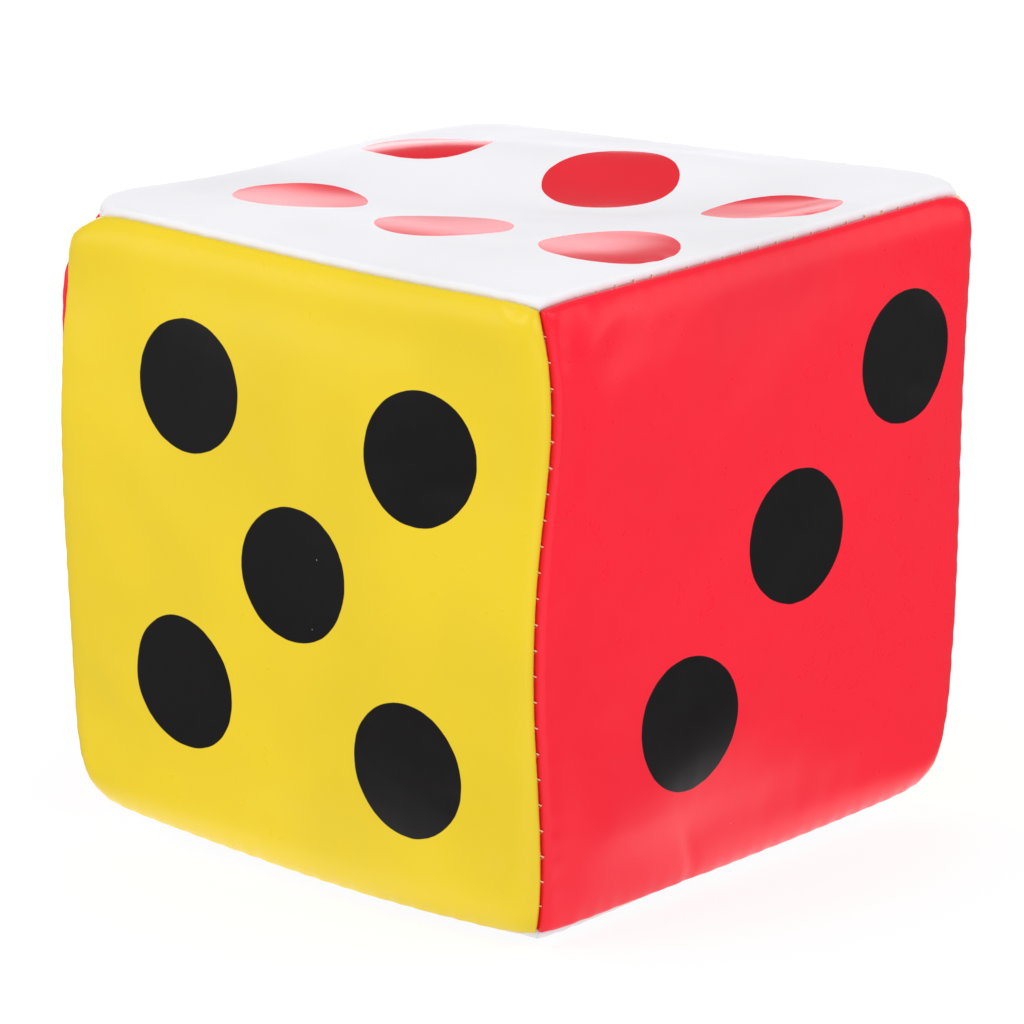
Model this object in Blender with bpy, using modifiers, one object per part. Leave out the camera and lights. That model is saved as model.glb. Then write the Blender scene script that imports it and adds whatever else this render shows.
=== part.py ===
"""Giant soft dice: a foam cube inside a cover of six vinyl panels sewn along twelve edges.

Metres, +Z up. The origin is the middle of the underside, and the edges run along X, Y and Z.
"""

import math
from itertools import combinations

import bmesh
import bpy
from mathutils import Matrix, Vector

# Driving dimensions.
EDGE = 0.200  # from one flat face to the opposite one
VINYL_THICKNESS = 0.001  # coated cloth of the cover
ROLL_RADIUS = 0.0025  # outer radius where a panel turns in to its seam
SEAM_ALLOWANCE = 0.007  # hidden width of each panel beyond its line of stitches
CLEARANCE = 0.0003  # between pieces that touch on the real dice
FOAM_EDGE_RADIUS = 0.010  # soft edge of the block inside the cover
THREAD_DIAMETER = 0.0007
STITCH_LENGTH = 0.008
STITCH_DIP = 0.0004  # how far the thread sinks between two stitches
CORNER_SETBACK = 0.001  # how far short of the corner each thread ends

# Derived dimensions.
HALF = EDGE / 2
DIAGONAL = HALF * math.sqrt(2)  # from the centre line to the sharp edge of the cube
FOLD_ANGLE = math.pi / 4  # between a panel's face and its turned-in allowance
ROLL_TANGENT = ROLL_RADIUS / math.tan(FOLD_ANGLE / 2)
FLANGE_LENGTH = ROLL_TANGENT + SEAM_ALLOWANCE
SEAM_LINE = DIAGONAL - ROLL_TANGENT  # where two panels meet, along the diagonal
SLIT_WIDTH = 2 * VINYL_THICKNESS + 3 * CLEARANCE
FOAM_EDGE = EDGE - 2 * (VINYL_THICKNESS + CLEARANCE)

ROLL_SEGMENTS = 8
ROLL_PROFILE = 0.41  # a Bevel profile that is close to a circle on a 45 degree fold
FOAM_SEGMENTS = 6

# Each face's outward direction, and the colour of its vinyl.
FACES = {
    "front": ((0, -1, 0), "yellow"),
    "back": ((0, 1, 0), "yellow"),
    "left": ((-1, 0, 0), "red"),
    "right": ((1, 0, 0), "red"),
    "top": ((0, 0, 1), "white"),
    "bottom": ((0, 0, -1), "white"),
}

VINYL_COLOURS = {
    "yellow": (0.85, 0.64, 0.03, 1),
    "red": (0.83, 0.02, 0.03, 1),
    "white": (0.86, 0.85, 0.88, 1),
}


def clear_scene():
    for obj in list(bpy.data.objects):
        bpy.data.objects.remove(obj, do_unlink=True)


def new_collection(name):
    collection = bpy.data.collections.new(name)
    bpy.context.scene.collection.children.link(collection)
    return collection


def new_material(name, colour, roughness):
    material = bpy.data.materials.new(name)
    material.use_nodes = True
    shader = material.node_tree.nodes["Principled BSDF"]
    shader.inputs["Base Color"].default_value = colour
    shader.inputs["Roughness"].default_value = roughness
    shader.inputs["Metallic"].default_value = 0.0
    return material


def new_object(name, data, collection, centre, material=None):
    """Link an object under the empty at the cube's centre."""
    obj = bpy.data.objects.new(name, data)
    collection.objects.link(obj)
    obj.parent = centre
    if material:
        data.materials.append(material)
    return obj


def mesh_from(bm, name):
    mesh = bpy.data.meshes.new(name)
    bm.to_mesh(mesh)
    bm.free()
    return mesh


def face_matrix(normal):
    """Local +Z becomes the face's outward direction, and the origin its middle."""
    return Matrix.Translation(normal * HALF) @ normal.to_track_quat("Z", "Y").to_matrix().to_4x4()


def cube_edges():
    """Give each edge's name and a matrix: local X along the edge, local Z out along the diagonal."""
    for (name_a, (normal_a, _)), (name_b, (normal_b, _)) in combinations(FACES.items(), 2):
        first = Vector(normal_a)
        second = Vector(normal_b)
        if first.dot(second) != 0:
            continue
        along = first.cross(second)
        outward = (first + second).normalized()
        turn = Matrix((along, outward.cross(along), outward)).transposed()
        yield f"{name_b}_{name_a}", turn.to_4x4()


def panel_mesh():
    """A square face with four allowances folded in at 45 degrees over rolled edges, as an open sheet."""
    depth = FLANGE_LENGTH * math.sin(FOLD_ANGLE)
    half_width = HALF - CLEARANCE / 2 * math.sqrt(2)
    bm = bmesh.new()
    bmesh.ops.create_cone(
        bm,
        cap_ends=True,
        segments=4,
        radius1=(half_width - depth) * math.sqrt(2),
        radius2=half_width * math.sqrt(2),
        depth=depth,
        matrix=Matrix.Translation((0, 0, -depth / 2)) @ Matrix.Rotation(math.pi / 4, 4, "Z"),
    )
    inner_face = min(bm.faces, key=lambda face: face.calc_center_median().z)
    bmesh.ops.delete(bm, geom=[inner_face], context="FACES_ONLY")
    outer_face = max(bm.faces, key=lambda face: face.calc_center_median().z)
    bmesh.ops.bevel(
        bm,
        geom=list(outer_face.edges),
        offset=ROLL_TANGENT,
        offset_type="OFFSET",
        affect="EDGES",
        segments=ROLL_SEGMENTS,
        profile=ROLL_PROFILE,
        material=-1,
    )
    mesh = mesh_from(bm, "cover_panel")
    mesh.shade_smooth()
    mesh.set_sharp_from_angle(angle=math.radians(35))
    return mesh


def add_panels(collection, centre):
    sheet = panel_mesh()
    for name, (normal, colour) in FACES.items():
        vinyl = new_material(f"vinyl_{colour}_{name}", VINYL_COLOURS[colour], 0.3)
        panel = new_object(f"{name}_panel", sheet.copy(), collection, centre, vinyl)
        panel.matrix_local = face_matrix(Vector(normal))
        wall = panel.modifiers.new("vinyl_thickness", "SOLIDIFY")
        wall.thickness = VINYL_THICKNESS
        wall.offset = -1
        wall.use_even_offset = True


def add_slit_cutters(collection, centre):
    """Slabs for the slits that the folded allowances press into the foam."""
    inner_end = DIAGONAL - FLANGE_LENGTH - 2 * CLEARANCE
    outer_end = DIAGONAL + CLEARANCE
    for name, turn in cube_edges():
        bm = bmesh.new()
        bmesh.ops.create_cube(bm, size=1)
        bmesh.ops.scale(bm, verts=bm.verts, vec=(EDGE, SLIT_WIDTH, outer_end - inner_end))
        bmesh.ops.translate(bm, verts=bm.verts, vec=(0, 0, (outer_end + inner_end) / 2))
        cutter = new_object(f"slit_cutter_{name}", mesh_from(bm, "slit"), collection, centre)
        cutter.matrix_local = turn
        cutter.hide_render = True
        cutter.display_type = "WIRE"
        yield cutter


def add_foam_core(collection, centre, cutters):
    bm = bmesh.new()
    bmesh.ops.create_cube(bm, size=FOAM_EDGE)
    bmesh.ops.bevel(
        bm,
        geom=bm.edges[:],
        offset=FOAM_EDGE_RADIUS,
        offset_type="OFFSET",
        affect="EDGES",
        segments=FOAM_SEGMENTS,
        profile=0.5,
        material=-1,
    )
    foam = new_material("foam", (0.80, 0.78, 0.70, 1), 0.95)
    core = new_object("foam_core", mesh_from(bm, "foam_block"), collection, centre, foam)
    core.data.shade_smooth()
    core.data.set_sharp_from_angle(angle=math.radians(35))
    for cutter in cutters:
        slit = core.modifiers.new(cutter.name, "BOOLEAN")
        slit.operation = "DIFFERENCE"
        slit.solver = "EXACT"
        slit.object = cutter


def thread_curve():
    """One row of stitches along X, dipping into the groove between each pair of stitches."""
    outer = SEAM_LINE + ROLL_RADIUS * 0.75
    reach = outer / math.sqrt(2) - CORNER_SETBACK
    steps = 2 * round(2 * reach / STITCH_LENGTH)
    curve = bpy.data.curves.new("stitches", "CURVE")
    curve.dimensions = "3D"
    curve.bevel_depth = THREAD_DIAMETER / 2
    curve.bevel_resolution = 1
    curve.use_fill_caps = True
    spline = curve.splines.new("POLY")
    spline.points.add(steps)
    for index, point in enumerate(spline.points):
        height = outer - STITCH_DIP * (index % 2)
        point.co = (-reach + 2 * reach * index / steps, 0, height, 1)
    return curve


def add_threads(collection, centre):
    stitches = thread_curve()
    for name, turn in cube_edges():
        cotton = new_material(f"thread_{name}", (0.85, 0.80, 0.78, 1), 0.7)
        thread = new_object(f"seam_thread_{name}", stitches.copy(), collection, centre, cotton)
        thread.matrix_local = turn


def main():
    clear_scene()
    parts = new_collection("giant_soft_dice")
    cutters = new_collection("cutters")
    centre = bpy.data.objects.new("cube_centre", None)
    centre.location = (0, 0, HALF)
    parts.objects.link(centre)
    add_foam_core(parts, centre, list(add_slit_cutters(cutters, centre)))
    add_panels(parts, centre)
    add_threads(parts, centre)


main()
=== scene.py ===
"""Looks of the giant soft dice: the sewn, printed vinyl cover, its stitches and the foam inside."""

import math

import bmesh
import bpy
from bpy.props import FloatProperty, FloatVectorProperty, IntProperty, PointerProperty
from bpy.types import Operator, Panel, PropertyGroup
from mathutils import Matrix, Vector, noise


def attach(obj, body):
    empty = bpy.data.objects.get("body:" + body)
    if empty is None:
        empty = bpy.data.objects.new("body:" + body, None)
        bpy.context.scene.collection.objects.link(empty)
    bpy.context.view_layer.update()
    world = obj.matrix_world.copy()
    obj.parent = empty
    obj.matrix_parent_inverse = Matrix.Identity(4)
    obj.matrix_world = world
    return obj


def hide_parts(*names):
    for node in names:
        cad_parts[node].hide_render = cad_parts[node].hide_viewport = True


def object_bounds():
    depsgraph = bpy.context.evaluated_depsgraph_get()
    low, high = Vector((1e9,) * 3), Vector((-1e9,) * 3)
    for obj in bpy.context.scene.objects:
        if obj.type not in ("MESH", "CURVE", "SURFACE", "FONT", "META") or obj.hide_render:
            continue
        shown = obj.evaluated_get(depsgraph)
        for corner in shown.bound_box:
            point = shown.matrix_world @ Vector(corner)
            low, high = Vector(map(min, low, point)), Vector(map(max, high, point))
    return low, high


bl_info = {
    "name": "Giant Soft Dice",
    "version": (1, 0, 0),
    "blender": (4, 5, 0),
    "location": "View3D > Sidebar > Soft Dice",
    "description": "Makes a foam dice with a sewn vinyl cover, printed pips and stitched seams",
    "category": "Add Mesh",
}

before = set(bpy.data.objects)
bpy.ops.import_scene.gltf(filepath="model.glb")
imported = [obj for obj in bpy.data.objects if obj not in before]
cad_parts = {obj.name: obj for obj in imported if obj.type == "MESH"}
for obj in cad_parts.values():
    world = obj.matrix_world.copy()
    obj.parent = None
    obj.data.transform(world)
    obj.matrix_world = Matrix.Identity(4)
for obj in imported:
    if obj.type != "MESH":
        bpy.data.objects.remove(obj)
CAD_LOW, CAD_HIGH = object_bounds()
CENTRE = (Vector(CAD_LOW) + Vector(CAD_HIGH)) / 2
HALF = (CAD_HIGH[2] - CAD_LOW[2]) / 2
MM = 0.001

# Each face: its outward direction, the direction of its printed left-to-right, its vinyl and its ink.
FACES = {
    "front": ((0, -1, 0), (1, 0, 0), "yellow", "black"),
    "back": ((0, 1, 0), (-1, 0, 0), "yellow", "black"),
    "left": ((-1, 0, 0), (0, -1, 0), "red", "black"),
    "right": ((1, 0, 0), (0, 1, 0), "red", "black"),
    "top": ((0, 0, 1), (1, 0, 0), "white", "red"),
    "bottom": ((0, 0, -1), (1, 0, 0), "white", "red"),
}

# Pip centres on each panel, in mm from its middle. The screens were not quite square to the cut.
# Those of the front, right and top were solved by a fitting program, and rounded to half a mm.
PIPS = {
    "front": [(-39, 49.5), (52, 44), (5.5, 0), (-42, -44.5), (49, -51.5)],
    "right": [(61, 49.5), (11, 4.5), (-36.5, -43)],
    "top": [(70.5, -38), (67.5, 37.5), (6, 36.5), (13, -46.5), (-52.5, -39.5), (-62, 30.5)],
    "left": [(-48, 47), (46, 50), (-45, -49), (50, -46)],
    "back": [(-44, 46), (49, -44)],
    "bottom": [(3, -2)],
}

# How each corner of the sewn cover sits off a true cube, in mm, and how far it is tucked in along
# x, y and z. The offsets began as the output of a fitting program; the tucks were set one by one.
CORNERS = {
    (1, -1, 1): ((-1.0, -0.9, -0.3), (1.5, 1.5, 1.5)),
    (1, -1, -1): ((-2.0, -1.5, 0.1), (1.0, 0.5, 0.5)),
    (-1, -1, 1): ((-1.0, 0.5, 2.3), (4.0, 8.5, 7.5)),
    (-1, -1, -1): ((-1.5, 1.0, 7.0), (5.0, 5.0, 5.0)),
    (1, 1, 1): ((3.5, 4.0, 3.0), (2.5, 2.5, 2.5)),
    (1, 1, -1): ((-3.0, -0.6, 5.5), (5.0, 5.0, 5.0)),
    (-1, 1, 1): ((-0.5, -1.5, -3.0), (2.0, 2.0, 2.0)),
    (-1, 1, -1): ((0.0, -1.0, 3.0), (3.5, 3.5, 3.5)),
}

# How each seam bows out, how it wanders towards the first named face, and how far its rolled pair
# is turned towards that face. The first two are heights in mm of one arch, one S and so on along
# the seam; the last is degrees at evenly spaced places along it. The bows began as the output of a
# fitting program; the rest was set one by one.
SEAMS = {
    ("left", "front"): ((3.2, -0.7), (0.0,), (14, 14, 13, 12, 12, 10, 2, -18, 55)),
    ("bottom", "front"): ((3.0, -0.4), (0.0,), (28, 30, 26)),
    ("bottom", "right"): ((0.3, -0.2), (0.0,), (8, 28, 28)),
    ("right", "back"): ((0.5, 0.8), (0.0,), (-6, -8, -22)),
    ("top", "back"): ((0.3, 0.0), (0.0,), (0, 0, -22)),
    ("top", "left"): ((-0.5, -1.3), (0.0,), (-26, -4, 0)),
    ("top", "front"): ((-0.7, 0.1), (-1.0, 0.3), (24, 25, 20)),
    ("top", "right"): ((-1.2, 0.0), (0.0,), (6, 10, 10)),
    ("right", "front"): ((0.0,), (0.0, -1.6, 1.6, -0.2, 0.2), (20, 16, 18)),
    ("left", "back"): ((2.0, 0.5), (0.5, 0.8), (0, -6, 4)),
    ("bottom", "left"): ((1.5, 0.4), (0.0, 0.6), (20, 26, 20)),
    ("bottom", "back"): ((2.0, -0.4), (0.4,), (20, 26, 20)),
}

# Seams whose stitches are drawn down out of sight, and by how much in mm.
DEEP_STITCHES = {("top", "front"): 1.1, ("top", "left"): 0.5, ("bottom", "front"): 0.6}

# Soft swells and hollows of the stuffed faces: (u, v, turn in degrees, length, width, height),
# the first two and the last three in mm. Every row of the top, the first two of the front and the
# first two of the right come from a fitting program, a few with a changed height.
SWELLS = {
    "front": [
        (-66, 40, -82, 90, 18, -2.0),
        (8, 63, -6, 60, 22, 2.2),
        (-60, 20, -41, 60, 11, 1.9),
        (-74, -52, -34, 34, 10, 1.6),
        (88, 92.5, 0, 3.4, 2.4, -1.4),
        (93, 86, 50, 3, 2.5, 0.5),
    ],
    "right": [
        (-37, -44, 27, 120, 27, 2.8),
        (64, 19, 38, 120, 27, 2.3),
        (-70, 66, 20, 24, 10, 1.0),
        (-22, 34, 36, 60, 12, 1.3),
        (-30, -8, 36, 70, 11, 1.1),
        (-80, 80, 42, 15, 5, 0.9),
        (-32, -84, -63, 9, 2.6, -0.9),
    ],
    "top": [
        (0, 0, 0, 80, 80, -1.4),
        (22, 22, 34, 93, 27, -6.2),
        (-33, 37, 24, 47, 21, 3.9),
        (23, -59, 3, 70, 21, 2.4),
        (19, 62, 14, 39, 14, 3.2),
        (62, -18, 7, 40, 17, 0.9),
        (-60, 12, 68, 34, 17, 2.3),
    ],
    "left": [(30, 20, 35, 50, 14, 0.9), (-40, -50, -20, 40, 12, 0.8)],
    "back": [(-30, 30, 30, 60, 16, 0.9), (50, -40, -35, 45, 12, 0.8)],
    "bottom": [(0, 0, 0, 60, 60, -0.8)],
}

# How far a panel turns over its rolled edge, and the width over which a swell fades at the edge.
ROLL_TURN = 3 * math.pi / 4
SWELL_FADE = 0.025

# A swell this narrow, in mm, is a crease, and runs on into the seam.
CREASE_WIDTH = 6

# Small unevenness of the stuffing: its height and how far apart its bumps lie.
LUMP_HEIGHT = 0.5 * MM
LUMP_SPACING = 0.045

# Gathers at the stitches: how far in from a seam they are looked for, how far they reach, and the
# distance along the seam over which their strength wanders.
GATHER_LIMIT = 0.020
GATHER_REACH = 0.0045
GATHER_WANDER = 0.012

# How sharply a corner's tuck keeps to its corner, and how near a seam's end its turn holds on.
TUCK_POWER = 14
TURN_POWER = 24

# One stitch across the groove: half its width, half its slant, the rise of its arch, and how deep
# the thread runs between two stitches.
RUNG_HALF = 0.55 * MM
RUNG_SLANT = 0.25 * MM
RUNG_ARCH = 0.45
THREAD_SINK = 0.4 * MM

CLOTH_FRAMES = 20
CLOTH_CELLS = 56

# Half the soft edge of a printed pip.
PIP_BLUR = 0.00012

# Brightness of the sky as seen, and in reflections.
SKY_SEEN = 0.88
SKY_REFLECTED = 0.20

# The floor: its colour and glow as seen, its glow in reflections near the dice, and its colour and
# glow in reflections farther off. The reflected values hold only on the stretch of floor that the
# front and right faces mirror, which lies along this direction.
FLOOR_COLOUR = (0.27, 0.27, 0.27)
FLOOR_GLOW = (0.76, 0.76, 0.76)
FLOOR_NEAR_GLOW = (1.3, 1.3, 1.3)
FLOOR_FAR_COLOUR = (0.08, 0.08, 0.08)
FLOOR_FAR_GLOW = (0.07, 0.07, 0.07)
FLOOR_ACROSS = (0.66, 0.75, 0)

# The settled shape of each panel, filled in by the cloth simulation.
SETTLED = {}


def wave(weights, t):
    """The sum of one arch, one S and so on along a seam, at t from 0 to 1."""
    return sum(height * math.sin((n + 1) * math.pi * t) for n, height in enumerate(weights))


def ease(t):
    """0 up to 0, 1 from 1 on, smooth between."""
    t = max(0.0, min(1.0, t))
    return t * t * (3 - 2 * t)


def between(values, t):
    """A value eased from one to the next of some evenly spaced ones, at t from 0 to 1."""
    place = t * (len(values) - 1)
    n = min(int(place), len(values) - 2)
    share = ease(place - n)
    return values[n] * (1 - share) + values[n + 1] * share


# ------------------------------------------------------------------ settings


class CoverSettings(PropertyGroup):
    shoulder_width: FloatProperty(
        name="Shoulder width",
        description="Width of the soft bend that leads to a rolled edge",
        default=0.016,
        unit="LENGTH",
    )
    shoulder_turn: FloatProperty(
        name="Shoulder turn",
        description="How far the vinyl turns over the soft bend",
        default=math.radians(12),
        subtype="ANGLE",
    )
    crown: FloatProperty(
        name="Crown",
        description="How far the foam presses the middle of a face out",
        default=0.0020,
        unit="LENGTH",
    )
    slack: FloatProperty(
        name="Slack",
        description="How much larger each panel is cut than the face it covers",
        default=0.004,
        subtype="FACTOR",
    )
    edge_plane: FloatProperty(
        name="Edge plane",
        description="Distance from the middle of the dice to the plane that the rolled edges touch",
        default=HALF - 0.00126,
        unit="LENGTH",
    )
    roll_radius: FloatProperty(
        name="Roll radius",
        description="Outer radius where the vinyl turns in to the seam",
        default=0.0022,
        unit="LENGTH",
    )
    allowance: FloatProperty(
        name="Seam allowance",
        description="Width of vinyl hidden beyond the stitches",
        default=0.007,
        unit="LENGTH",
    )
    thickness: FloatProperty(
        name="Vinyl thickness",
        description="Thickness of the coated cloth",
        default=0.001,
        unit="LENGTH",
    )
    turn_reach: FloatProperty(
        name="Turn reach",
        description="How far from a seam the turn of its rolled edges fades out",
        default=0.009,
        unit="LENGTH",
    )
    floor_softness: FloatProperty(
        name="Floor softness",
        description="Height over which the underside flattens against the floor",
        default=0.0008,
        unit="LENGTH",
    )
    seam_gap: FloatProperty(
        name="Seam gap",
        description="Gap left between two panels at the stitches",
        default=0.0003,
        unit="LENGTH",
    )
    spacing: FloatProperty(
        name="Mesh spacing",
        description="Distance between the rows of a panel's mesh",
        default=0.0020,
        unit="LENGTH",
    )
    pip_diameter: FloatProperty(
        name="Pip diameter",
        description="Diameter of a printed pip",
        default=0.0414,
        unit="LENGTH",
    )
    yellow: FloatVectorProperty(
        name="Yellow vinyl",
        description="Colour of the front and back panels",
        subtype="COLOR",
        size=3,
        default=(0.82, 0.60, 0.012),
    )
    red: FloatVectorProperty(
        name="Red vinyl",
        description="Colour of the left and right panels",
        subtype="COLOR",
        size=3,
        default=(0.93, 0.006, 0.028),
    )
    white: FloatVectorProperty(
        name="White vinyl",
        description="Colour of the top and bottom panels",
        subtype="COLOR",
        size=3,
        default=(0.815, 0.81, 0.84),
    )
    black_ink: FloatVectorProperty(
        name="Black ink",
        description="Colour of the pips on yellow and red",
        subtype="COLOR",
        size=3,
        default=(0.005, 0.004, 0.0045),
    )
    red_ink: FloatVectorProperty(
        name="Red ink",
        description="Colour of the pips on white",
        subtype="COLOR",
        size=3,
        default=(0.78, 0.005, 0.020),
    )


class StitchSettings(PropertyGroup):
    per_seam: IntProperty(
        name="Stitches",
        description="Number of stitches along one edge",
        default=24,
        min=4,
    )
    thread_diameter: FloatProperty(
        name="Thread",
        description="Diameter of the sewing thread",
        default=0.00042,
        unit="LENGTH",
    )
    pull: FloatProperty(
        name="Stitch pull",
        description="How far each stitch draws the vinyl in",
        default=0.00035,
        unit="LENGTH",
    )
    colour: FloatVectorProperty(
        name="Thread colour",
        description="Colour of the sewing thread",
        subtype="COLOR",
        size=3,
        default=(0.88, 0.50, 0.36),
    )


class FoamSettings(PropertyGroup):
    clearance: FloatProperty(
        name="Clearance",
        description="Air between the foam and the vinyl",
        default=0.0008,
        unit="LENGTH",
    )
    voxel: FloatProperty(
        name="Mesh size",
        description="Cell size of the foam's mesh",
        default=0.0022,
        unit="LENGTH",
    )
    colour: FloatVectorProperty(
        name="Foam colour",
        description="Colour of the foam",
        subtype="COLOR",
        size=3,
        default=(0.80, 0.77, 0.66),
    )


class StageSettings(PropertyGroup):
    azimuth: FloatProperty(
        name="Azimuth",
        description="Direction of the camera round the dice",
        subtype="ANGLE",
        default=math.radians(41.4),
    )
    elevation: FloatProperty(
        name="Elevation",
        description="Height of the camera above the horizon",
        subtype="ANGLE",
        default=math.radians(14.7),
    )
    roll: FloatProperty(
        name="Roll",
        description="Turn of the camera about its own axis",
        subtype="ANGLE",
        default=math.radians(-0.32),
    )
    distance: FloatProperty(
        name="Distance",
        description="Distance from the camera to the middle of the dice",
        default=2.171,
        unit="LENGTH",
    )
    lens: FloatProperty(
        name="Lens",
        description="Focal length in millimetres",
        default=248.3,
    )


# ------------------------------------------------------------------ shape


class Face:
    """One side of the dice, with its own directions: u to the right, v up, and out."""

    def __init__(self, name):
        out, right, self.vinyl, self.ink = FACES[name]
        self.name = name
        self.out = Vector(out)
        self.right = Vector(right)
        self.up = self.out.cross(self.right)

    def point(self, u, v, height):
        """A point of the true cube, height being its distance from the middle of the dice."""
        return CENTRE + self.right * u + self.up * v + self.out * height


class Cover:
    """The sewn cover's shape: profile of the rolled edges, rise of the faces and warp of the whole."""

    def __init__(self, settings, stitches):
        self.s = settings
        self.stitches = stitches
        start = settings.shoulder_turn
        radius = settings.roll_radius
        self.roll_length = radius * (ROLL_TURN - start)
        self.seam_drop = radius * (math.cos(start) - math.cos(ROLL_TURN))
        self.shoulder_drop = settings.shoulder_width * start / 3
        half_gap = settings.seam_gap / math.sqrt(2)
        self.seam = settings.edge_plane - half_gap - self.shoulder_drop - self.seam_drop
        self.flat = self.seam - radius * (math.sin(ROLL_TURN) - math.sin(start))
        self.reach = self.flat + radius * (1 - math.sin(start))
        self.cut = self.flat + self.roll_length + settings.allowance
        self.settled = SETTLED

    def rings(self):
        """Flat distances from the middle of a panel, out over the roll to the cut edge."""
        count = round(self.flat / self.s.spacing)
        inner = [self.flat * n / count for n in range(count)]
        roll = [self.flat + self.roll_length * n / 8 for n in range(9)]
        hidden = [self.flat + self.roll_length + self.s.allowance * n / 3 for n in range(1, 4)]
        return inner + roll + hidden

    def profile(self, distance):
        """Half width and depth below the edge plane at a flat distance from the panel's middle."""
        if distance <= self.flat:
            return distance, 0.0
        radius = self.s.roll_radius
        start = self.s.shoulder_turn
        along = min(distance - self.flat, self.roll_length)
        angle = start + along / radius
        beyond = distance - self.flat - along
        width = self.flat + radius * (math.sin(angle) - math.sin(start)) - beyond * math.sqrt(0.5)
        depth = radius * (math.cos(start) - math.cos(angle)) + beyond * math.sqrt(0.5)
        return width, depth

    def relief(self, face, u, v):
        """How far the stuffed face stands above the edge plane."""
        near_u = max(self.flat - abs(u), 0)
        near_v = max(self.flat - abs(v), 0)
        shoulder = self.s.shoulder_width
        bend_u = max(1 - near_u / shoulder, 0) ** 3
        bend_v = max(1 - near_v / shoulder, 0) ** 3
        height = self.s.crown * self.stuffing(face, u, v)
        height -= self.shoulder_drop * (1 - (1 - bend_u) * (1 - bend_v))
        fade = ease(near_u / SWELL_FADE) * ease(near_v / SWELL_FADE)
        for mid_u, mid_v, turn, length, width, swell in SWELLS[face.name]:
            angle = math.radians(turn)
            du = u / MM - mid_u
            dv = v / MM - mid_v
            along = (du * math.cos(angle) + dv * math.sin(angle)) / length
            across = (dv * math.cos(angle) - du * math.sin(angle)) / width
            share = fade if width > CREASE_WIDTH else 1.0
            height += swell * MM * math.exp(-(along**2 + across**2)) * share
        place = Vector((u, v, 0.3 * (1 + list(FACES).index(face.name))))
        height += LUMP_HEIGHT * noise.noise(place / LUMP_SPACING) * fade
        return height - self.pucker(face, u, v)

    def stuffing(self, face, u, v):
        """Share of the crown at a place: from the settled cloth, or a plain arch before it settles."""
        settled = self.settled.get(face.name)
        if settled is None:
            arch_u = max(1 - (u / self.reach) ** 2, 0)
            arch_v = max(1 - (v / self.reach) ** 2, 0)
            return arch_u * arch_v
        count = len(settled) - 1
        column = (1 + max(-1.0, min(1.0, u / self.reach))) / 2 * count
        row = (1 + max(-1.0, min(1.0, v / self.reach))) / 2 * count
        left = min(int(column), count - 1)
        below = min(int(row), count - 1)
        part_u = column - left
        part_v = row - below
        lower = settled[below][left] * (1 - part_u) + settled[below][left + 1] * part_u
        upper = settled[below + 1][left] * (1 - part_u) + settled[below + 1][left + 1] * part_u
        return lower * (1 - part_v) + upper * part_v

    def pucker(self, face, u, v):
        """The small gathers that the stitches draw into the vinyl along each edge."""
        depth = 0.0
        pitch = 2 * self.seam / self.stitches.per_seam
        for across, along in ((u, v), (v, u)):
            near = max(self.flat - abs(across), 0)
            if near > GATHER_LIMIT or abs(along) > self.seam:
                continue
            phase = math.cos(math.pi * (along + self.seam) / pitch) ** 2
            seed = Vector((along / GATHER_WANDER, math.copysign(7, across), list(FACES).index(face.name)))
            strength = 0.6 + 0.8 * noise.noise(seed)
            depth += self.stitches.pull * strength * phase * math.exp(-((near / GATHER_REACH) ** 2))
        return depth

    def warp(self, point, anchor=None, sink=0.0):
        """Move a point of the true cube to where it lies on the soft, hand-sewn one.

        The anchor is the place whose movement it shares, and sink its depth under the cover.
        """
        q = ((anchor or point) - CENTRE) / self.seam
        clamped = Vector([max(-1.0, min(1.0, value)) for value in q])
        shift = Vector()
        for signs, (offset, tuck) in CORNERS.items():
            weight = math.prod((1 + s * c) / 2 for s, c in zip(signs, clamped))
            shift += Vector(offset) * MM * weight
            near = math.prod(max(s * c, 0) for s, c in zip(signs, clamped))
            shift -= Vector(signs) * Vector(tuck) * MM * near**TUCK_POWER
        for (name_a, name_b), (bow, sway, turn) in SEAMS.items():
            out_a = Vector(FACES[name_a][0])
            out_b = Vector(FACES[name_b][0])
            axis = max(range(3), key=lambda n: 1 - abs(out_a[n]) - abs(out_b[n]))
            t = (1 + clamped[axis]) / 2
            weight = (1 + out_a.dot(clamped)) / 2 * (1 + out_b.dot(clamped)) / 2 * MM
            shift += (out_a + out_b).normalized() * wave(bow, t) * weight
            shift += (out_a - out_b).normalized() * wave(sway, t) * weight
            line = (out_a + out_b) * self.seam
            line[axis] = (anchor or point)[axis] - CENTRE[axis]
            away = (anchor or point) - CENTRE - line
            if any(turn) and away.length < 3 * self.s.turn_reach:
                share = math.exp(-((away.length / self.s.turn_reach) ** 2))
                share *= 1 - clamped[axis] ** TURN_POWER
                angle = math.radians(between(turn, t)) * share
                arm = point - CENTRE - line
                shift += Matrix.Rotation(angle, 3, out_b.cross(out_a)) @ arm - arm
        moved = point + shift
        floor = self.s.floor_softness
        if moved.z - sink < floor:
            moved.z = sink + floor * math.exp((moved.z - sink - floor) / floor)
        return moved

    def place(self, face, u, v, depth, sink=0.0):
        """A point of the finished cover, sink being how far it lies under the vinyl's outside."""
        width = max(abs(u), abs(v))
        height = self.s.edge_plane - depth - sink + self.relief(face, u, v)
        point = face.point(u, v, height)
        if depth <= self.seam_drop + 1e-6:
            return self.warp(point, sink=sink)
        share = self.seam / width
        anchor = face.point(u * share, v * share, height + depth - self.seam_drop)
        return self.warp(point, anchor, sink)


# ------------------------------------------------------------------ helpers


def object_from(bm, name):
    mesh = bpy.data.meshes.new(name)
    bm.to_mesh(mesh)
    bm.free()
    obj = bpy.data.objects.new(name, mesh)
    bpy.context.scene.collection.objects.link(obj)
    mesh.shade_smooth()
    return obj


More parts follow.
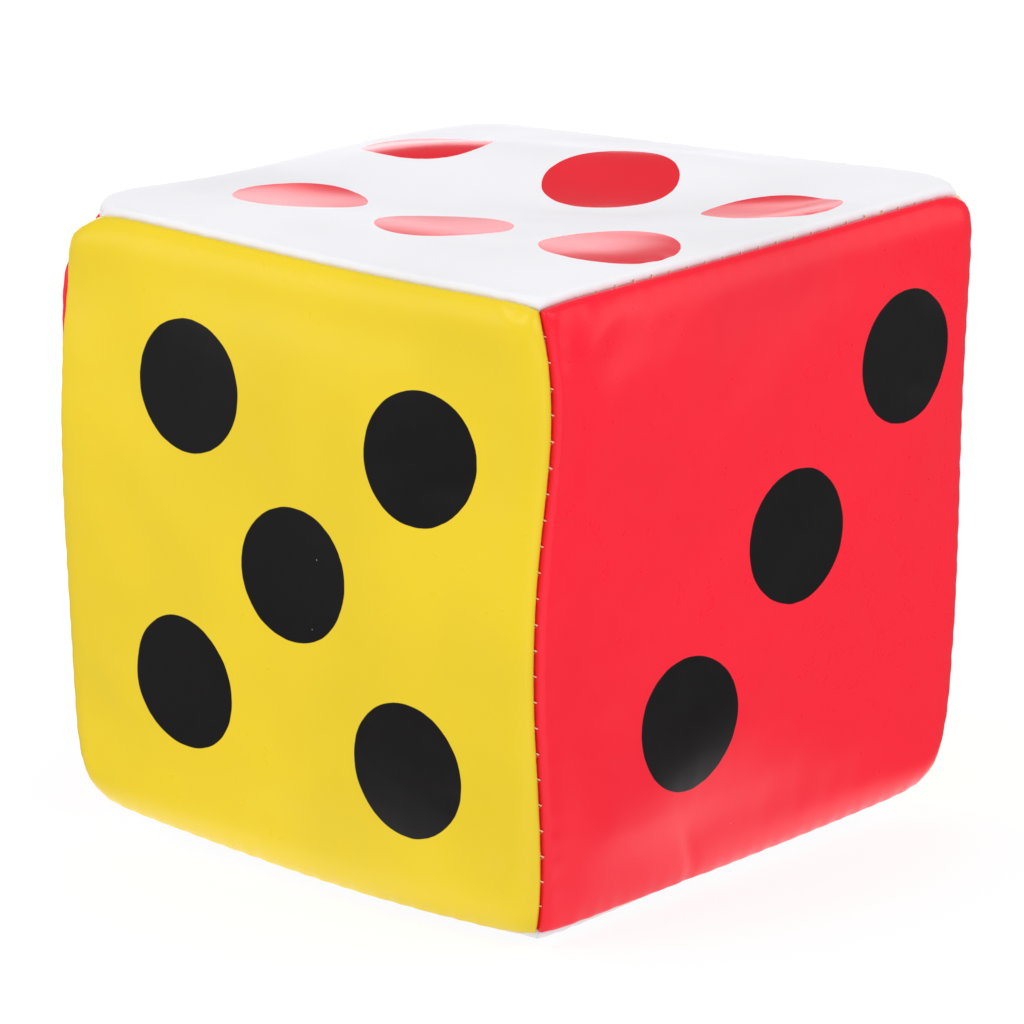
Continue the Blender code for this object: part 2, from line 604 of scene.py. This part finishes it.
class Socket:
    """A node's output or a plain value, with arithmetic that adds Math nodes."""

    def __init__(self, material, value):
        self.material = material
        self.value = value

    def math(self, operation, *values):
        return self.material.node("ShaderNodeMath", {"operation": operation}, values)

    def __add__(self, other):
        return self.math("ADD", self, other)

    __radd__ = __add__

    def __sub__(self, other):
        return self.math("SUBTRACT", self, other)

    def __rsub__(self, other):
        return self.math("SUBTRACT", other, self)

    def __mul__(self, other):
        return self.math("MULTIPLY", self, other)

    __rmul__ = __mul__

    def lower(self, other):
        return self.math("MINIMUM", self, other)

    def size(self):
        """The value without its sign."""
        return self.math("ABSOLUTE", self)


class Material:
    """A node material, built through one method that makes any node."""

    def __init__(self, name):
        self.data = bpy.data.materials.new(name)
        self.data.use_nodes = True
        self.data.node_tree.nodes.clear()

    def node(self, kind, settings=None, inputs=(), output=0):
        """Make a node, apply its settings, fill its inputs by position or name; give one output."""
        made = self.data.node_tree.nodes.new(kind)
        for key, value in (settings or {}).items():
            if key == "stops":
                self.set_stops(made.color_ramp, value)
            else:
                setattr(made, key, value)
        pairs = inputs.items() if isinstance(inputs, dict) else enumerate(inputs)
        for key, value in pairs:
            self.fill(made.inputs[key], value)
        return Socket(self, made.outputs[output]) if made.outputs else None

    def set_stops(self, ramp, stops):
        while len(ramp.elements) < len(stops):
            ramp.elements.new(0.5)
        for element, (position, colour) in zip(ramp.elements, stops):
            element.position = position
            element.color = (*colour, 1)

    def fill(self, socket, value):
        if isinstance(value, Socket):
            self.data.node_tree.links.new(value.value, socket)
        elif hasattr(value, "__len__") and len(socket.default_value) == 4:
            socket.default_value = (*value, 1)
        else:
            socket.default_value = value

    def noise(self, source, scale, detail=3.0, rough=0.5):
        return self.node(
            "ShaderNodeTexNoise",
            {},
            {"Vector": source, "Scale": scale, "Detail": detail, "Roughness": rough},
        )

    def ramp(self, source, low, high):
        """0 below low, 1 above high, smooth between."""
        return self.node(
            "ShaderNodeMapRange",
            {"interpolation_type": "SMOOTHSTEP"},
            {"Value": source, "From Min": low, "From Max": high},
        )

    def mix(self, factor, first, second):
        return self.node(
            "ShaderNodeMix",
            {"data_type": "RGBA"},
            {0: factor, 6: first, 7: second},
            output=2,
        )

    def bump(self, height, distance, strength=1.0, after=None):
        inputs = {"Height": height, "Distance": distance, "Strength": strength}
        if after:
            inputs["Normal"] = after
        return self.node("ShaderNodeBump", {}, inputs)

    def finish(self, shader):
        self.node("ShaderNodeOutputMaterial", {}, {"Surface": shader})
        return self.data


# ------------------------------------------------------------------ materials


def vinyl_material(face, settings):
    """Smooth coated cloth with printed pips: fine grain, faint mottling, dust and soft gloss."""
    m = Material(f"vinyl_{face.vinyl}_{face.name}")
    uv = m.node("ShaderNodeUVMap", {"uv_map": "cut"})
    where = m.node("ShaderNodeTexCoord", {}, output=3)

    broad = m.noise(where, 14.0, 2.0)
    fine = m.noise(where, 160.0, 4.0)
    grain = m.noise(where, 2600.0, 2.0)
    base = Vector(getattr(settings, face.vinyl))
    ink = Vector(getattr(settings, f"{face.ink}_ink"))
    vinyl = m.mix(m.ramp(broad, 0.35, 0.7), tuple(base), tuple(base * 0.93))

    wander = (fine - 0.5) * 0.0006
    distance = None
    for u, v in PIPS[face.name]:
        here = m.node(
            "ShaderNodeVectorMath",
            {"operation": "DISTANCE"},
            (uv, (u * MM, v * MM, 0)),
            output=1,
        )
        distance = here if distance is None else distance.lower(here)
    radius = settings.pip_diameter / 2
    pip = 1 - m.ramp(distance + wander, radius - PIP_BLUR, radius + PIP_BLUR)
    printed = m.mix(m.ramp(broad, 0.4, 0.8), tuple(ink), tuple(ink * 1.25))
    colour = m.mix(pip, vinyl, printed)

    specks = m.node("ShaderNodeTexVoronoi", {}, {"Vector": where, "Scale": 60.0})
    dust = (1 - m.ramp(specks, 0.008, 0.018)) * m.ramp(m.noise(where, 30.0), 0.56, 0.62)
    colour = m.mix(dust * 0.35, colour, (0.80, 0.77, 0.75))

    # The ink on white is laid on thicker than the rest, and shines where the vinyl doesn't.
    on_white = face.vinyl == "white"
    gloss = (0.60 if on_white else 0.30) + 0.10 * (broad - 0.5) + 0.10 * (fine - 0.5)
    bump = m.bump(fine, 0.00006, 0.2)
    bump = m.bump(grain, 0.00003, 0.2, bump)
    bump = m.bump(pip, 0.00003, 0.6, bump)
    shader = m.node(
        "ShaderNodeBsdfPrincipled",
        {},
        {
            "Base Color": colour,
            "Roughness": gloss,
            "Normal": bump,
            "IOR": 1.5,
            "Specular IOR Level": 0.14 if on_white else 0.4,
            "Coat Weight": pip * 0.6 if on_white else 0.0,
            "Coat Roughness": 0.23,
        },
    )
    return m.finish(shader)


def thread_material(settings):
    """Twisted polyester sewing thread."""
    m = Material("sewing_thread")
    where = m.node("ShaderNodeTexCoord", {}, output=3)
    fibres = m.noise(where, 2200.0, 3.0)
    base = Vector(settings.colour)
    colour = m.mix(fibres, tuple(base * 0.8), tuple(base))
    shader = m.node(
        "ShaderNodeBsdfPrincipled",
        {},
        {
            "Base Color": colour,
            "Roughness": 0.6,
            "Normal": m.bump(fibres, 0.0001, 0.6),
        },
    )
    return m.finish(shader)


def foam_material(settings):
    """Open-celled polyurethane foam."""
    m = Material("soft_foam")
    where = m.node("ShaderNodeTexCoord", {}, output=3)
    cells = m.node("ShaderNodeTexVoronoi", {"feature": "SMOOTH_F1"}, {"Vector": where, "Scale": 900.0})
    patches = m.noise(where, 30.0, 3.0)
    base = Vector(settings.colour)
    colour = m.mix(patches, tuple(base * 0.9), tuple(base))
    # The middle of each cell is darkened to under half the foam's colour: painted shade in the open
    # pores.
    colour = m.mix(m.ramp(cells, 0.1, 0.6), tuple(base * 0.45), colour)
    shader = m.node(
        "ShaderNodeBsdfPrincipled",
        {},
        {"Base Color": colour, "Roughness": 0.95, "Normal": m.bump(cells, 0.0004, 0.8)},
    )
    return m.finish(shader)


def floor_material():
    """Pale, faintly glowing floor of a light tent, darker in the reflections on two of the faces."""
    m = Material("pale_floor")
    where = m.node("ShaderNodeTexCoord", {}, output=3)
    away = m.node("ShaderNodeVectorMath", {"operation": "LENGTH"}, (where,), output=1)
    glossy = m.node("ShaderNodeLightPath", {}, output=3)
    direction = m.node("ShaderNodeVectorMath", {"operation": "NORMALIZE"}, (where,))
    along = m.node(
        "ShaderNodeVectorMath",
        {"operation": "DOT_PRODUCT"},
        (direction, FLOOR_ACROSS),
        output=1,
    )
    across = glossy * m.ramp(along.size(), 0.35, 0.65)
    far = m.ramp(away, 0.12, 0.18)
    shader = m.node(
        "ShaderNodeBsdfPrincipled",
        {},
        {
            "Base Color": m.mix(across * far, FLOOR_COLOUR, FLOOR_FAR_COLOUR),
            "Roughness": 1.0,
            "Specular IOR Level": 0.0,
            "Emission Color": m.mix(across, FLOOR_GLOW, m.mix(far, FLOOR_NEAR_GLOW, FLOOR_FAR_GLOW)),
            "Emission Strength": 1.0,
        },
    )
    return m.finish(shader)


# ------------------------------------------------------------------ pieces


def panel_bmesh(face, cover):
    """A square cut of vinyl as a grid, bent over its rolled edges and into the seams."""
    rings = cover.rings()
    count = len(rings) - 1
    bm = bmesh.new()
    bmesh.ops.create_grid(bm, x_segments=2 * count, y_segments=2 * count, size=1)
    cut = bm.loops.layers.uv.new("cut")
    flat_place = {}
    for vert in bm.verts:
        column = round(vert.co.x * count)
        row = round(vert.co.y * count)
        ring = max(abs(column), abs(row))
        distance = rings[ring]
        width, depth = cover.profile(distance)
        share = Vector((column, row)) / max(ring, 1)
        flat_place[vert.index] = share * distance
        u, v = share * width
        vert.co = cover.place(face, u, v, depth)
    for corner in (loop for poly in bm.faces for loop in poly.loops):
        corner[cut].uv = flat_place[corner.vert.index]
    bmesh.ops.recalc_face_normals(bm, faces=bm.faces)
    middle = min(bm.faces, key=lambda poly: flat_place[poly.verts[0].index].length)
    if middle.normal.dot(face.out) < 0:
        bmesh.ops.reverse_faces(bm, faces=bm.faces)
    return bm


def settle(face, cover):
    """Let the foam press a panel out: a slack sheet, held at its rolled edges, as shares of its crown."""
    count = CLOTH_CELLS
    bm = bmesh.new()
    bmesh.ops.create_grid(bm, x_segments=count, y_segments=count, size=cover.reach)
    bm.verts.index_update()
    places = [(vert.co.x, vert.co.y) for vert in bm.verts]
    for vert in bm.verts:
        vert.co = cover.place(face, vert.co.x, vert.co.y, 0.0)
    sheet = object_from(bm, "slack_sheet")
    rest = [vert.co.copy() for vert in sheet.data.vertices]
    rim = cover.reach - cover.reach / count
    held = sheet.vertex_groups.new(name="held")
    held.add([n for n, (u, v) in enumerate(places) if max(abs(u), abs(v)) > rim], 1.0, "REPLACE")
    cloth = sheet.modifiers.new("cloth", "CLOTH")
    cloth.point_cache.frame_start = 1
    cloth.point_cache.frame_end = CLOTH_FRAMES
    vinyl = cloth.settings
    vinyl.quality = 5
    vinyl.mass = 0.02
    vinyl.tension_stiffness = 15
    vinyl.compression_stiffness = 15
    vinyl.shear_stiffness = 5
    vinyl.bending_stiffness = 2.0
    vinyl.use_pressure = True
    vinyl.uniform_pressure_force = 4
    vinyl.effector_weights.gravity = 0
    vinyl.vertex_group_mass = "held"
    vinyl.shrink_min = -cover.s.slack
    for number in range(1, CLOTH_FRAMES + 1):
        bpy.context.scene.frame_set(number)
    evaluated = sheet.evaluated_get(bpy.context.evaluated_depsgraph_get())
    moved = evaluated.to_mesh()
    rises = [max((v.co - old).dot(face.out), 0.0) for v, old in zip(moved.vertices, rest)]
    evaluated.to_mesh_clear()
    bpy.data.objects.remove(sheet)
    bpy.context.scene.frame_set(1)
    top = max(rises)
    field = [[0.0] * (count + 1) for _ in range(count + 1)]
    for (u, v), rise in zip(places, rises):
        column = round((1 + u / cover.reach) / 2 * count)
        row = round((1 + v / cover.reach) / 2 * count)
        field[row][column] = rise / top
    return field


def make_panel(face, cover):
    s = cover.s
    panel = object_from(panel_bmesh(face, cover), f"{face.name}_cover")
    wall = panel.modifiers.new("vinyl_thickness", "SOLIDIFY")
    wall.thickness = s.thickness
    wall.offset = -1
    wall.use_even_offset = True
    panel.data.materials.append(vinyl_material(face, s))
    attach(panel, "root")
    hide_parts(f"{face.name}_panel")
    2 * cover.cut
    2 * cover.cut


def seam_path(face_a, face_b, cover, stitches):
    """One thread: a rung across the groove at each stitch, hidden in the seam between them."""
    along = face_a.out.cross(face_b.out)
    outward = (face_a.out + face_b.out).normalized()
    across = (face_a.out - face_b.out).normalized()
    seam_out = cover.seam * math.sqrt(2) + cover.s.seam_gap
    pitch = 2 * cover.seam / stitches.per_seam
    points = []
    for n in range(1, stitches.per_seam):
        middle = -cover.seam + n * pitch
        ends = min(n, stitches.per_seam - n) / stitches.per_seam
        proud = 0.1 + 0.75 * ease(ends / 0.14) + 0.7 * noise.noise(outward * 5 + along * n * 0.43)
        proud -= DEEP_STITCHES.get((face_a.name, face_b.name), 0.0)
        for step in range(7):
            share = step / 6 * 2 - 1
            rise = proud + RUNG_ARCH * (1 - share**2)
            place = along * (middle + share * RUNG_SLANT) + across * share * RUNG_HALF
            points.append(CENTRE + place + outward * (seam_out + rise * MM))
        if n < stitches.per_seam - 1:
            for step in (0.2, 0.5, 0.8):
                place = along * (middle + step * pitch)
                points.append(CENTRE + place + outward * (seam_out - THREAD_SINK))
    return [cover.warp(point) for point in points]


def make_thread(name_a, name_b, cover, stitches):
    points = seam_path(Face(name_a), Face(name_b), cover, stitches)
    curve = bpy.data.curves.new("stitches", "CURVE")
    curve.dimensions = "3D"
    curve.bevel_depth = stitches.thread_diameter / 2
    curve.bevel_resolution = 2
    curve.use_fill_caps = True
    spline = curve.splines.new("POLY")
    spline.points.add(len(points) - 1)
    for point, place in zip(spline.points, points):
        point.co = (*place, 1)
    guide = bpy.data.objects.new("stitch_guide", curve)
    bpy.context.scene.collection.objects.link(guide)
    bpy.context.view_layer.update()
    evaluated = guide.evaluated_get(bpy.context.evaluated_depsgraph_get())
    mesh = bpy.data.meshes.new_from_object(evaluated)
    bpy.data.objects.remove(guide)
    bm = bmesh.new()
    bm.from_mesh(mesh)
    bpy.data.meshes.remove(mesh)
    bmesh.ops.remove_doubles(bm, verts=bm.verts, dist=1e-6)
    thread = object_from(bm, f"stitches_{name_a}_{name_b}")
    thread.data.materials.clear()
    thread.data.materials.append(bpy.data.materials["sewing_thread"])
    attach(thread, "root")
    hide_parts(f"seam_thread_{name_a}_{name_b}")


def make_foam(cover, settings):
    """The foam block, swollen to the shape of the cover, with slits where the allowances press in."""
    bm = bmesh.new()
    bm.from_mesh(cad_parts["foam_core"].data)
    bmesh.ops.remove_doubles(bm, verts=bm.verts, dist=1e-6)
    foam = object_from(bm, "foam_block")
    foam.data.materials.clear()
    remesh = foam.modifiers.new("cells", "REMESH")
    remesh.mode = "VOXEL"
    remesh.voxel_size = settings.voxel
    bpy.context.view_layer.update()
    evaluated = foam.evaluated_get(bpy.context.evaluated_depsgraph_get())
    fine = bpy.data.meshes.new_from_object(evaluated)
    foam.modifiers.remove(remesh)
    foam.data = fine
    depth = cover.s.thickness + settings.clearance
    faces = [Face(name) for name in FACES]
    for vert in fine.vertices:
        local = vert.co - CENTRE
        face = max(faces, key=lambda side: side.out.dot(local))
        height = face.out.dot(local)
        u = face.right.dot(local)
        v = face.up.dot(local)
        swell = cover.relief(face, u, v) * max(height / HALF, 0) ** 4
        shrink = (cover.s.edge_plane - depth) / (HALF - 1.3 * MM)
        vert.co = cover.warp(CENTRE + local * shrink + face.out * swell, sink=depth)
    fine.shade_smooth()
    fine.materials.append(foam_material(settings))
    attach(foam, "root")
    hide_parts("foam_core")


# ------------------------------------------------------------------ operators


def the_cover(context):
    return Cover(context.scene.soft_dice_cover, context.scene.soft_dice_stitches)


class SOFTDICE_OT_settle(Operator):
    """Simulate how the foam presses each vinyl panel out between its seams"""

    bl_idname = "soft_dice.settle"
    bl_label = "Settle Vinyl"

    def execute(self, context):
        SETTLED.clear()
        cover = the_cover(context)
        fields = {name: settle(Face(name), cover) for name in FACES}
        SETTLED.update(fields)
        return {"FINISHED"}


class SOFTDICE_OT_foam(Operator):
    """Make the foam block inside the cover"""

    bl_idname = "soft_dice.foam"
    bl_label = "Foam Block"

    def execute(self, context):
        make_foam(the_cover(context), context.scene.soft_dice_foam)
        return {"FINISHED"}


class SOFTDICE_OT_cover(Operator):
    """Make the six printed vinyl panels"""

    bl_idname = "soft_dice.cover"
    bl_label = "Cover Panels"

    def execute(self, context):
        cover = the_cover(context)
        for name in FACES:
            make_panel(Face(name), cover)
        return {"FINISHED"}


class SOFTDICE_OT_stitches(Operator):
    """Sew the twelve seams"""

    bl_idname = "soft_dice.stitches"
    bl_label = "Stitches"

    def execute(self, context):
        thread_material(context.scene.soft_dice_stitches)
        cover = the_cover(context)
        for name_a, name_b in SEAMS:
            make_thread(name_a, name_b, cover, context.scene.soft_dice_stitches)
        return {"FINISHED"}


def add_area_light(name, place, target, size, energy, colour=(1, 1, 1)):
    light = bpy.data.lights.new(name, "AREA")
    light.shape = "RECTANGLE"
    light.size, light.size_y = size
    light.energy = energy
    light.color = colour
    lamp = bpy.data.objects.new(name, light)
    bpy.context.scene.collection.objects.link(lamp)
    lamp.location = place
    lamp.rotation_euler = (Vector(target) - Vector(place)).to_track_quat("-Z", "Y").to_euler()


class SOFTDICE_OT_stage(Operator):
    """Add a pale floor, soft studio light and the camera"""

    bl_idname = "soft_dice.stage"
    bl_label = "Stage"

    def execute(self, context):
        s = context.scene.soft_dice_stage
        bm = bmesh.new()
        bmesh.ops.create_grid(bm, x_segments=1, y_segments=1, size=12)
        floor = object_from(bm, "floor")
        floor.data.materials.append(floor_material())

        world = bpy.data.worlds.new("studio")
        context.scene.world = world
        world.use_nodes = True
        sky = world.node_tree.nodes["Background"]
        sky.inputs["Color"].default_value = (1, 1, 1, 1)
        rays = world.node_tree.nodes.new("ShaderNodeLightPath")
        dim = world.node_tree.nodes.new("ShaderNodeMapRange")
        dim.inputs["To Min"].default_value = SKY_SEEN
        dim.inputs["To Max"].default_value = SKY_REFLECTED
        world.node_tree.links.new(rays.outputs["Is Glossy Ray"], dim.inputs["Value"])
        world.node_tree.links.new(dim.outputs["Result"], sky.inputs["Strength"])

        add_area_light("key", (-0.3, -1.9, 1.7), CENTRE, (1.2, 1.2), 9)
        add_area_light("fill", (2.1, -0.3, 1.4), CENTRE, (1.2, 1.2), 7)
        add_area_light("box_front_left", (-1.4, -1.5, 0.42), CENTRE, (1.2, 0.9), 3)
        add_area_light("box_back_right", (1.5, 1.4, 0.42), CENTRE, (1.2, 0.9), 3)
        add_area_light("box_back_left", (-1.4, 1.5, 0.40), CENTRE, (1.9, 0.8), 10, (0.97, 0.96, 1.0))
        add_area_light("overhead", (-0.2, -0.2, 2.4), CENTRE, (1.6, 1.6), 4)

        back = Vector((
            math.sin(s.azimuth) * math.cos(s.elevation),
            -math.cos(s.azimuth) * math.cos(s.elevation),
            math.sin(s.elevation),
        ))
        camera_data = bpy.data.cameras.new("camera")
        camera_data.lens = s.lens
        camera_data.sensor_width = 36
        camera_data.clip_end = 50
        camera = bpy.data.objects.new("camera", camera_data)
        context.scene.collection.objects.link(camera)
        right = Vector((math.cos(s.azimuth), math.sin(s.azimuth), 0))
        up = back.cross(right)
        aim = CENTRE - right * 0.0013 - up * 0.0013
        turn = Matrix((right, up, back)).transposed().to_4x4()
        camera.matrix_world = (
            Matrix.Translation(aim + back * s.distance) @ turn @ Matrix.Rotation(s.roll, 4, "Z")
        )
        context.scene.camera = camera
        context.scene.view_settings.view_transform = "Standard"
        return {"FINISHED"}


class SOFTDICE_PT_sidebar(Panel):
    bl_label = "Soft Dice"
    bl_idname = "SOFTDICE_PT_sidebar"
    bl_space_type = "VIEW_3D"
    bl_region_type = "UI"
    bl_category = "Soft Dice"

    def draw(self, context):
        for operator, settings in STEPS:
            box = self.layout.box()
            box.operator(operator.bl_idname)
            group = getattr(context.scene, settings)
            for key in group.bl_rna.properties.keys():
                if key not in ("rna_type", "name"):
                    box.prop(group, key)


SETTINGS = {
    "soft_dice_cover": CoverSettings,
    "soft_dice_stitches": StitchSettings,
    "soft_dice_foam": FoamSettings,
    "soft_dice_stage": StageSettings,
}
STEPS = (
    (SOFTDICE_OT_stage, "soft_dice_stage"),
    (SOFTDICE_OT_settle, "soft_dice_cover"),
    (SOFTDICE_OT_foam, "soft_dice_foam"),
    (SOFTDICE_OT_cover, "soft_dice_cover"),
    (SOFTDICE_OT_stitches, "soft_dice_stitches"),
)


def register():
    for group in SETTINGS.values():
        bpy.utils.register_class(group)
    for operator, _ in STEPS:
        bpy.utils.register_class(operator)
    bpy.utils.register_class(SOFTDICE_PT_sidebar)
    for name, group in SETTINGS.items():
        setattr(bpy.types.Scene, name, PointerProperty(type=group))


def unregister():
    for name in SETTINGS:
        delattr(bpy.types.Scene, name)
    bpy.utils.unregister_class(SOFTDICE_PT_sidebar)
    for operator, _ in reversed(STEPS):
        bpy.utils.unregister_class(operator)
    for group in reversed(SETTINGS.values()):
        bpy.utils.unregister_class(group)


def main():
    register()
    bpy.ops.soft_dice.stage()
    bpy.ops.soft_dice.settle()
    bpy.ops.soft_dice.foam()
    bpy.ops.soft_dice.cover()
    bpy.ops.soft_dice.stitches()


if __name__ == "__main__":
    main()
